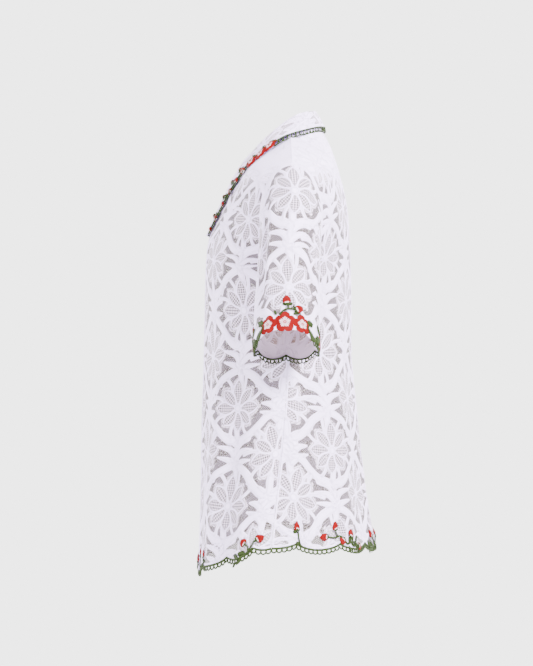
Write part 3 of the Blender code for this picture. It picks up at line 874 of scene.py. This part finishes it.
collarFit = {
    "lift": (0.0012, 0.0040, 0.0068, 0.0052),   # off the panels at seam, fold, fall, edge
    "edging": 0.0080,
    "stations": 132,
    "rows": 26,
    "smoothing": (9, 4.0),     # stations to each side, and their spread
}


def panelTree(cloths):
    points, faces = [], []
    for cloth in cloths:
        grid = cloth["points"][::3, ::3]
        base = len(points)
        points += [Vector(point) for point in grid.reshape(-1, 3)]
        faces += [tuple(base + i for i in face) for face in gridFaces(*grid.shape[:2])]
    return BVHTree.FromPolygons(points, faces)


def clearOf(tree, point, outward, distance):
    point = Vector(point)
    place, normal, _, _ = tree.find_nearest(point)
    if normal.dot(outward) < 0:
        normal.negate()
    return np.array(point + normal * max(distance - (point - place).dot(normal), 0.0))


def neckSeam(seam):
    # the neck edge of the panels and the cloth's normal there
    top, step = len(frontTable) - 1, 0.02
    if seam <= 0:
        across = (1 + seam) * form["backNeckShare"]
        near = np.array([max(across, step)])
        point = backTop(np.array([across]))[0]
        below = (backRow(top - 1 - step, near) - backRow(top - 1, near))[0]
        ends = backTop(np.clip(np.array([across - step, across + step]), 0,
                               form["backNeckShare"]))
        normal = np.cross(ends[1] - ends[0], below)
        return point, normal if normal[2] > 0 else -normal
    level = top - seam
    rows = [frontRow(place, np.array([0.0, step])) for place in
            (level - step, level, min(level + step, top))]
    normal = np.cross(rows[2][0] - rows[0][0], rows[1][1] - rows[1][0])
    return rows[1][0], normal if normal[1] < 0 else -normal


def collarSection(place, tree):
    row = splineAt(collarTable, place)
    seam, normal = neckSeam(row[0])
    fold, edge = row[1:4], row[4:7]
    reach = unit(edge - fold) * collarFit["edging"] / 2
    up = Vector((0.2 * (place > 0), 0.6 - place * 0.2, 1.0))
    line = [seam + unit(normal) * collarFit["lift"][0], fold, (fold + edge - reach) / 2,
            edge - reach]
    return [clearOf(tree, point, up, lift) for point, lift in zip(line, collarFit["lift"])]


def collarCloth(tree):
    # from the outer edge, over the fold, down to the neck seam
    last = len(collarTable) - 1
    places = np.linspace(0, last, collarFit["stations"])
    half = np.array([collarSection(place, tree) for place in places])
    side, spread = collarFit["smoothing"]
    weights = np.exp(-(np.arange(-side, side + 1) / spread) ** 2)
    padded = np.pad(half, ((side, side), (0, 0), (0, 0)), mode="reflect", reflect_type="odd")
    padded[:side] = half[side:0:-1] * [-1, 1, 1]
    eased = sum(padded[k:k + len(half)] * weight for k, weight in enumerate(weights))
    half[:, 1:] = (eased / weights.sum())[:, 1:]
    half = np.concatenate([half[:0:-1] * [-1, 1, 1], half])
    places = np.concatenate([-places[:0:-1], places])
    rows = collarFit["rows"]
    points = np.array([[splineAt(list(section), 3 - 3 * (i / rows)) for section in half]
                       for i in range(rows + 1)])
    normals = gridNormals(points)
    guide = points[0] - points[rows // 3]
    outward = np.cross(np.gradient(points[0], axis=0), guide)
    sign = np.sign(np.sum(normals[1] * outward, -1))
    if np.median(sign * np.sign(outward[:, 2])) <= 0:
        normals = -normals
    flatU = np.broadcast_to(lengths(points, 1)[rows // 2], points.shape[:2])
    flatU = flatU - flatU.mean()
    return {"points": points, "normals": normals, "u": flatU, "v": lengths(points, 0),
            "across": np.broadcast_to(places, points.shape[:2])}



class Ground:
    # a cloth's own places: s along its row 0 and up from there, both in metres
    def __init__(self, cloth, mirror=False, droop=0.0):
        self.points, self.normals = cloth["points"], cloth["normals"]
        self.droop = droop   # how much what hangs off the edge turns straight down
        if mirror:
            self.points = self.points * [-1, 1, 1]
            self.normals = self.normals * [-1, 1, 1]
        self.run = lengths(self.points, 1)[0]
        self.rise = lengths(self.points, 0)
        self.size = self.run[-1]

    def at(self, s, up, lift=0.0):
        rows, columns = self.rise.shape
        column = np.interp(s, self.run, np.arange(columns))
        j = min(int(column), columns - 2)
        part = column - j
        row = np.interp(max(up, 0.0), self.rise[:, j], np.arange(rows))
        i = min(int(row), rows - 2)
        share = row - i
        weights = ((i, j, (1 - share) * (1 - part)), (i, j + 1, (1 - share) * part),
                   (i + 1, j, share * (1 - part)), (i + 1, j + 1, share * part))
        point = sum(self.points[a, b] * weight for a, b, weight in weights)
        normal = unit(sum(self.normals[a, b] * weight for a, b, weight in weights))
        if up < 0:
            way = unit(self.points[0, j] - self.points[2, j])
            way = unit(way * (1 - self.droop) + np.array([0, 0, -self.droop]))
            point = point + way * -up
            normal = unit(normal - way * np.dot(normal, way))
        return point + normal * lift, normal


def newStitching():
    return {"points": [], "faces": [], "grain": []}


def addTube(work, path, normals, radii, sides=6):
    path, normals = np.array(path), np.array(normals)
    radii = np.broadcast_to(radii, len(path))
    tangent = unit(np.gradient(path, axis=0))
    side = unit(np.cross(tangent, normals))
    rise = np.cross(side, tangent)
    run = np.concatenate([[0], np.cumsum(np.linalg.norm(np.diff(path, axis=0), axis=1))]) * 1000
    base = len(work["points"])
    for i in range(len(path)):
        for k in range(sides):
            angle = 2 * math.pi * k / sides
            offset = side[i] * math.cos(angle) + rise[i] * math.sin(angle) * 0.8
            work["points"].append(path[i] + offset * radii[i])
            work["grain"].append((run[i] + threadFinish["pitch"] * k / sides, 0.0, 0.0))
    for i in range(len(path) - 1):
        for k in range(sides):
            a, b = base + i * sides + k, base + i * sides + (k + 1) % sides
            work["faces"].append((a, a + sides, b + sides, b))
    end = base + (len(path) - 1) * sides
    work["faces"].append(tuple(base + k for k in range(sides)))
    work["faces"].append(tuple(end + k for k in range(sides - 1, -1, -1)))


def sewLine(work, ground, places, radii, lift, steps, sides=6):
    # a raised line of stitches through flat places on the cloth
    line = curveThrough(places, steps)
    laid = [ground.at(s, up, lift) for s, up in line]
    if np.ndim(radii) == 1:
        radii = np.interp(np.linspace(0, 1, len(line)), np.linspace(0, 1, len(radii)), radii)
    addTube(work, [point for point, _ in laid], [normal for _, normal in laid], radii, sides)


def turned(x, y, degrees):
    c, s = math.cos(math.radians(degrees)), math.sin(math.radians(degrees))
    return x * c - y * s, x * s + y * c


def mirrored(degrees, flip):
    return degrees if flip > 0 else 180 - degrees


def addDisc(work, ground, place, degrees, rings):
    # rings: arrays of x, y, height, tone, stitch; the first ring is the middle point
    base = len(work["points"])
    count = len(rings[1])
    for ring in rings:
        for x, y, height, tone, stitch in ring:
            dx, dy = turned(x, y, degrees)
            point, _ = ground.at(place[0] + dx, place[1] + dy, height)
            work["points"].append(point)
            work["grain"].append((stitch, 0.0, tone))
    for k in range(count):
        after = (k + 1) % count
        work["faces"].append((base, base + 1 + k, base + 1 + after))
        for i in range(1, len(rings) - 1):
            low, high = base + 1 + (i - 1) * count, base + 1 + i * count
            work["faces"].append((low + k, high + k, high + after, low + after))


blossom = {
    "petals": 5,
    "notch": 0.24,             # between two petals, as a share of the radius
    "rings": (0.10, 0.2, 0.32, 0.44, 0.56, 0.66, 0.76, 0.86, 0.95, 1.0, 1.0),
    "height": 0.0026,          # off the cloth at the crown
    "low": 0.0016,             # and round the rim, whose edge turns down further
    "edge": 0.0012,
    "white": 0.46,             # how far out the white reaches
    "heart": (0.16, 0.36),     # the middle's reach and tone
}


def addBlossom(work, ground, place, radius, degrees, squeeze=1.0, pale=1.0):
    angles = np.linspace(0, 2 * math.pi, 60, endpoint=False)
    lobes = np.abs(np.cos(blossom["petals"] / 2 * angles)) ** 0.55
    outline = radius * (1 - blossom["notch"] + blossom["notch"] * lobes)
    veins = np.abs(np.cos(blossom["petals"] * 1.5 * angles)) ** 1.2
    reach = blossom["white"] * pale * (0.72 + 0.36 * lobes + 0.14 * veins)
    rise = blossom["height"] - blossom["low"]
    rings = [np.array([(0, 0, blossom["height"] * 0.8, 0.9, 0.0)])]
    for r in blossom["rings"]:
        crown = math.sin(math.pi * min(r + 0.08, 1))
        height = blossom["low"] + rise * crown * (0.35 + 0.65 * lobes)
        if len(rings) == len(blossom["rings"]):
            height = np.full(len(angles), blossom["edge"])
        tone = (0.42 + 0.5 * veins) * smooth((reach - r) / 0.12 + 0.5)
        if r < blossom["heart"][0]:
            tone = np.full(len(angles), blossom["heart"][1])
        rings.append(np.stack([outline * r * np.cos(angles) * squeeze,
                               outline * r * np.sin(angles), height, tone,
                               angles * radius * 1000 * 0.8], -1))
    addDisc(work, ground, place, degrees, rings)


bud = {
    "rings": (0.3, 0.6, 0.85, 1.0, 1.0),
    "height": 0.0038,
    "low": 0.0016,
    "edge": 0.0012,
    "calyx": [(-58, 0.85), (58, 0.85), (-20, 0.5), (20, 0.5)],   # degrees, length
    "calyxThread": (0.0012, 0.0013, 0.0003),
    "calyxLift": 0.0030,
}


def addBud(work, calyxWork, ground, place, degrees, size):
    # a closed bud that points along degrees, with its calyx behind it
    angles = np.linspace(0, 2 * math.pi, 18, endpoint=False)
    rings = [np.array([(0, 0, bud["height"], 0.1, 0.0)])]
    rise = bud["height"] - bud["low"]
    for r in bud["rings"]:
        x = size * r * np.cos(angles) * (1.0 + 0.12 * np.cos(angles))
        y = size * 0.86 * r * np.sin(angles) * (1.0 - 0.18 * np.cos(angles))
        height = bud["low"] + rise * math.sqrt(max(1 - r * r, 0))
        if len(rings) == len(bud["rings"]):
            height = bud["edge"]
        height = np.full(len(angles), height)
        tone = 0.85 * smooth((-x / size - 0.10) / 0.3) * (np.abs(y) < size * 0.45)
        rings.append(np.stack([x, y, height, tone, y * 1000 + 6], -1))
    addDisc(work, ground, place, degrees, rings)
    dx, dy = turned(-size * 0.95, 0, degrees)
    root = (place[0] + dx, place[1] + dy)
    for spread, length in bud["calyx"]:
        tipX, tipY = turned(size * length, 0, degrees + spread)
        tip = (root[0] + tipX, root[1] + tipY)
        middle = ((root[0] + tip[0]) / 2, (root[1] + tip[1]) / 2)
        sewLine(calyxWork, ground, [root, middle, tip], bud["calyxThread"],
                bud["calyxLift"], 2, 5)


leaf = {
    "width": 0.34,             # half of it, as a share of the length
    "teeth": 5,
    "ribs": [(-1.0, 0.0013), (-0.5, 0.0022), (0.0, 0.0028), (0.5, 0.0022), (1.0, 0.0013)],
}


def addLeaf(work, ground, root, degrees, length):
    # a feathery leaf from root, pointing along degrees; its ribs are across and height
    steps = leaf["teeth"] * 4
    base = len(work["points"])
    for i in range(steps + 1):
        t = i / steps
        tooth = 0.50 + 0.50 * (1 - (t * leaf["teeth"]) % 1.0)
        swell = math.sin(math.pi * min(0.04 + 0.94 * t, 1)) ** 0.7
        half = length * leaf["width"] * swell * tooth
        for spread, height in leaf["ribs"]:
            x, y = turned(t * length + abs(spread) * length * 0.10, spread * half, degrees)
            point, _ = ground.at(root[0] + x, root[1] + y, height)
            work["points"].append(point)
            work["grain"].append((t * length * 1000 - abs(spread) * 2.0, 0.0, 0.0))
    for i in range(steps):
        for k in range(4):
            a = base + i * 5 + k
            work["faces"].append((a, a + 5, a + 6, a + 1))


edging = {
    "thread": 0.0014,          # of the loops, its half width
    "cord": 0.0019,
    "cordPlace": (-0.0006, 0.0004),    # up from the cloth's edge, and off the cloth
    "loopPlace": (-0.0012, 0.0003),
    "cordStep": 0.003,
    "hem": {"pitch": 0.0078, "drop": 0.0060},
    "cuff": {"pitch": 0.0078 * 0.86, "drop": 0.0060 * 0.95, "stout": 0.75},
    "neck": {"pitch": 0.0080, "drop": 0.0066, "ladder": True, "stout": 0.62},
    "lapel": {"pitch": 0.0070, "drop": 0.0050, "stout": 0.7},
}


def addLoops(work, ground, start, end, pitch, drop, ladder=False, stout=1.0):
    # a cord along the edge with loops below it, and for a ladder a cord under the loops
    start, end = min(start, end), max(start, end)
    count = max(int(round((end - start) / pitch)), 1)
    pitch = (end - start) / count
    cordUp, cordLift = edging["cordPlace"]
    loopUp, loopLift = edging["loopPlace"]
    steps = int((end - start) / edging["cordStep"]) + 2
    cord = [(s, cordUp) for s in np.linspace(start, end, steps)]
    sewLine(work, ground, cord, edging["cord"] * stout, cordLift, 1)
    for k in range(count):
        loop = [(start + pitch * (k + (1 - math.cos(a)) / 2),
                 loopUp - drop * math.sin(a) ** 0.7) for a in np.linspace(0, math.pi, 9)]
        sewLine(work, ground, loop, edging["thread"] * stout, loopLift, 1, 5)
    if ladder:
        cord = [(s, loopUp - drop) for s, _ in cord]
        sewLine(work, ground, cord, edging["thread"] * stout, loopLift, 1, 5)


sprayWork = {
    "stem": (0.0015, 0.0013),  # half width at its root and tip
    "lift": 0.0022,
    "bud": 0.0068,
}
# sprays, in millimetres from their root: stems, buds (x, y, degrees) and leaves
# (x, y, degrees, length)
sprays = {
    "pair": {
        "stems": [[(0, -1), (-2, 7), (-8, 14)], [(0, 0), (8, 5), (16, 10)],
                  [(0, -1), (-12, -2), (-30, -5)]],
        "buds": [(-12, 18, 130), (20, 14, 35)],
        "leaves": [(-6, -1, 160, 16), (-12, -3, 215, 14), (-20, -3, 155, 16),
                   (-25, -5, 222, 13), (2, 0, -25, 10)],
    },
    "single": {
        "stems": [[(2, -1), (-1, 8), (-3, 17)], [(2, -1), (8, -3), (14, -4)]],
        "buds": [(-5, 24, 105)],
        "leaves": [(-3, 14, 150, 10), (2, 1, 205, 9)],
    },
    "triple": {
        "stems": [[(0, 0), (-12, 7), (-26, 9), (-39, 13)], [(-20, 8), (-23, 14), (-24, 19)],
                  [(0, 0), (-4, 3), (-8, 3)], [(0, 0), (7, 6), (10, 12)],
                  [(0, 0), (14, 6), (26, 3), (34, 0)]],
        "buds": [(-45, 14, 178), (-24, 25, 92), (-10, 3, 240), (11, 18, 70), (39, -1, -15)],
        "leaves": [(-4, 1, 150, 10), (4, 2, 60, 13), (9, 5, -30, 12), (14, 6, 75, 13),
                   (19, 5, -35, 12), (24, 4, 60, 13), (29, 2, -40, 11), (3, -1, -60, 9)],
    },
    "corner": {
        "stems": [[(0, -2), (3, 5), (5, 10)]],
        "buds": [(6, 15, 80)],
        "leaves": [(1, 2, 150, 9), (3, 4, 20, 10)],
    },
    "cuff": {
        "stems": [[(-8, 22), (-2, 29), (4, 31)], [(4, 31), (4, 35), (3, 38)],
                  [(4, 31), (10, 31), (15, 30)],
                  [(-36, 14), (-42, 6), (-46, -2)], [(36, 14), (42, 6), (46, -2)]],
        "buds": [(2, 44, 98), (20, 32, 25)],
        "leaves": [(3, 37, 165, 7), (4, 37, 20, 7), (14, 31, 110, 6), (15, 30, -50, 7),
                   (-34, 17, 150, 17), (-36, 12, 205, 17), (-41, 4, 190, 15),
                   (-44, -1, 150, 12), (34, 17, 30, 17), (36, 12, -25, 17),
                   (41, 4, -10, 15), (44, -1, 30, 12),
                   (-12, 22, 120, 8), (12, 22, 50, 8)],
    },
}


def addSpray(greenWork, redWork, ground, kind, place, flip=1, size=1.0):
    spray = sprays[kind]
    scale = 0.001 * size

    def spot(x, y):
        return (place[0] + flip * x * scale, place[1] + y * scale)

    for stem in spray["stems"]:
        sewLine(greenWork, ground, [spot(x, y) for x, y in stem],
                [wide * size for wide in sprayWork["stem"]], sprayWork["lift"], 5)
    for x, y, degrees in spray["buds"]:
        addBud(redWork, greenWork, ground, spot(x, y), mirrored(degrees, flip),
               sprayWork["bud"] * size)
    for x, y, degrees, length in spray["leaves"]:
        addLeaf(greenWork, ground, spot(x, y), mirrored(degrees, flip), length * scale)


def sewPiece(name, work, material, nodes):
    piece = addPiece(name, work["points"], work["faces"], material, nodes)
    addAttribute(piece.data, "grain", "FLOAT_VECTOR", np.array(work["grain"]))
    bpy.ops.object.select_all(action="DESELECT")
    piece.select_set(True)
    bpy.context.view_layer.objects.active = piece
    bpy.ops.object.mode_set(mode="EDIT")
    bpy.ops.mesh.select_all(action="SELECT")
    bpy.ops.mesh.normals_make_consistent(inside=False)
    bpy.ops.object.mode_set(mode="OBJECT")
    return piece


def sewTrim(place, where, green, red, redName, greenNode, redNodes):
    sewPiece(place + "Edging" + where, green, greenThread, [greenNode])
    sewPiece(place + redName + where, red, redThread, redNodes)
    place + where



floor = setStudio()
makeFloorFinish(floor)
laceCotton = makeLaceFinish()
greenThread = makeThreadFinish("greenThread", threadFinish["greenDark"],
                               threadFinish["greenLight"], False)
redThread = makeThreadFinish("redThread", threadFinish["redDeep"],
                             threadFinish["redLight"], True)
print("studio and finishes made")

frontCloth = panelCloth(frontRow, frontFolds, frontCreases, True)
backCloth = bothHalves(panelCloth(backRow, backFolds, backCreases, False))
sleeveSheet = sleeveCloth()
panels = panelTree([backCloth, frontCloth, {"points": frontCloth["points"] * [-1, 1, 1]}])
collarSheet = collarCloth(panels)


fading = {
    "shoulder": (-0.075, 0.05),    # from this height up, over this far, the lace is plain and bright: painted highlight for the light on the shoulders
    "collar": 0.35,
    "sleeveShade": 0.62,                # painted shade, at most, where the sleeve faces the body
    "sleeveShadeTurn": (0.24, 0.12),    # from the seam under the arm
    "sleeveShadeRise": (0.11, 0.05),    # from the cuff
}


def sleeveShadeShare(cloth):
    # how much painted shade the sleeve's colour gets where its own tube and the body keep light
    # off
    under = np.minimum(cloth["across"], 1 - cloth["across"])
    turnEnd, turnFade = fading["sleeveShadeTurn"]
    riseEnd, riseFade = fading["sleeveShadeRise"]
    return (fading["sleeveShade"] * smooth((turnEnd - under) / turnFade)
            * smooth((riseEnd - cloth["v"]) / riseFade))


def plainShoulderHighlight(cloth):
    # plain, brighter lace toward the shoulders: painted highlight
    start, fade = fading["shoulder"]
    return smooth((cloth["points"][..., 2] - start) / fade)


bothSides = (("Left", False), ("Right", True))
laceBack = layLace("laceBack", "back", backCloth, laceCotton, ["back"],
                   plainShoulderHighlight(backCloth))
laceFronts = [layLace("laceFront" + word, "front", frontCloth, laceCotton,
                      ["front_" + word.lower()], plainShoulderHighlight(frontCloth), mirror)
              for word, mirror in bothSides]
laceSleeves = [layLace("laceSleeve" + word, "sleeve", sleeveSheet, laceCotton,
                       ["sleeve_" + word.lower()], None, mirror, sleeveShadeShare(sleeveSheet))
               for word, mirror in bothSides]
laceCollar = layLace("laceCollar", "collar", collarSheet, laceCotton,
                     ["collar", "collar_stand"],
                     np.full(collarSheet["u"].shape, fading["collar"]))
print("lace laid:", [len(piece.data.polygons) for piece in
                     [laceBack, *laceFronts, *laceSleeves, laceCollar]])

# the hem: edging all round, sprays at the notches between the scallops
hemSprays = {   # kind, place from the centre line to the side edge, flip, how far up
    "front": [("corner", 0.035, 1, 0.004), ("pair", 0.857, 1, 0.002),
              ("corner", 0.43, -1, 0.003), ("single", 0.21, -1, 0.003)],
    "back": [("single", 0.857, 1, 0.002), ("triple", 0.55, 1, 0.004),
             ("pair", 0.14, 1, 0.002)],
}
for where, node, ground in (("FrontLeft", "front_left", Ground(frontCloth)),
                            ("FrontRight", "front_right", Ground(frontCloth, True)),
                            ("Back", "back", Ground(backCloth))):
    green, red = newStitching(), newStitching()
    addLoops(green, ground, 0.0, ground.size, **edging["hem"])
    if where == "Back":
        half = ground.size / 2
        for kind, across, flip, up in hemSprays["back"]:
            for way in (1, -1):
                addSpray(green, red, ground, kind, (half + way * across * half, up),
                         -way * flip)
    else:
        for kind, across, flip, up in hemSprays["front"]:
            addSpray(green, red, ground, kind, (across * ground.size, up), flip)
    sewTrim("hem", where, green, red, "Buds", "hem_edging_" + node, [])
print("hem sewn")

# the cuffs: three sprays of three flowers, loops between them
cuffTrim = {
    "loops": ((0.0, 0.335), (0.645, 1.0)),   # shares of the girth
    "sprays": 3,
    "pitch": 0.0262,           # from flower to flower
    "flowers": [               # place, up, radius, degrees, squeeze
        (-1, 0.0110, 0.0150, 76, 0.90),
        (0, 0.0115, 0.0158, 90, 0.98),
        (1, 0.0110, 0.0150, 104, 0.90),
    ],
}
for word, mirror in bothSides:
    ground = Ground(sleeveSheet, mirror)
    green, red = newStitching(), newStitching()
    girth = ground.size
    for start, end in cuffTrim["loops"]:
        addLoops(green, ground, start * girth, end * girth, **edging["cuff"])
    for number in range(cuffTrim["sprays"]):
        middle = ((form["sprayTurn"] + number / cuffTrim["sprays"]) % 1.0) * girth
        for place, up, radius, degrees, squeeze in cuffTrim["flowers"]:
            s = (middle + place * cuffTrim["pitch"]) % girth
            addBlossom(red, ground, (s, up), radius, degrees, squeeze)
        addSpray(green, red, ground, "cuff", (middle, 0.0))
    side = word.lower()
    sewTrim("cuff", word, green, red, "Flowers", "cuff_edging_" + side,
            ["cuff_flower_%s_%d" % (side, k) for k in range(1, 10)])
print("cuffs sewn")

# the collar: a ladder of loops round the back, three flowers and buds down each front
collarTrim = {   # places along the collar: 0 at the centre back, 8 at the tip
    "droop": 0.62,
    "ladder": (0, 3.0),
    "loops": (5.35, 7.95),
    "cord": (2.9, 5.4),
    "cordThread": 0.0010,
    "cordLift": 0.0016,
    "flowersUp": -0.0012,      # from the collar's edge
    "leavesUp": 0.003,
    "spraysUp": -0.001,
    "budsUp": -0.0030,
    "leaf": 0.010,
    "squeeze": 0.66,
    "pale": 0.85,
    "flowers": [(3.35, 0.0125), (4.15, 0.0128), (5.0, 0.0118)],           # radius
    "leaves": [(3.0, 20), (3.75, 60), (4.6, 50), (5.3, 200)],             # degrees
    "sprays": [(5.75, 0.7), (6.35, 0.7), (6.9, 0.65), (7.45, 0.6)],       # size
    "buds": [(5.7, 60, 0.0052), (6.2, 110, 0.0046), (6.65, 50, 0.0050),   # degrees, size
             (7.1, 100, 0.0048), (7.5, 70, 0.0050), (7.8, 90, 0.0044)],
}
ground = Ground(collarSheet, droop=collarTrim["droop"])
collarAcross = collarSheet["across"][0]
for word, mirror in bothSides:
    green, red = newStitching(), newStitching()
    flip = -1 if mirror else 1

    def spot(place):
        return float(np.interp(flip * place, collarAcross, ground.run))

    for kind, part in (("neck", "ladder"), ("lapel", "loops")):
        start, end = collarTrim[part]
        addLoops(green, ground, spot(start), spot(end), **edging[kind])
    line = [(spot(place), 0.0) for place in np.linspace(*collarTrim["cord"], 12)]
    sewLine(green, ground, line, collarTrim["cordThread"], collarTrim["cordLift"], 2)
    for place, radius in collarTrim["flowers"]:
        addBlossom(red, ground, (spot(place), collarTrim["flowersUp"]), radius, 90,
                   collarTrim["squeeze"], collarTrim["pale"])
    for place, degrees in collarTrim["leaves"]:
        addLeaf(green, ground, (spot(place), collarTrim["leavesUp"]),
                mirrored(degrees, flip), collarTrim["leaf"])
    for place, size in collarTrim["sprays"]:
        addSpray(green, red, ground, "corner", (spot(place), collarTrim["spraysUp"]), flip,
                 size)
    for place, degrees, size in collarTrim["buds"]:
        addBud(red, green, ground, (spot(place), collarTrim["budsUp"]),
               mirrored(degrees, flip), size)
    side = word.lower()
    sewTrim("collar", word, green, red, "Flowers", "collar_edging_" + side,
            ["collar_flower_%s_%d" % (side, k) for k in range(1, 4)])
print("collar sewn")
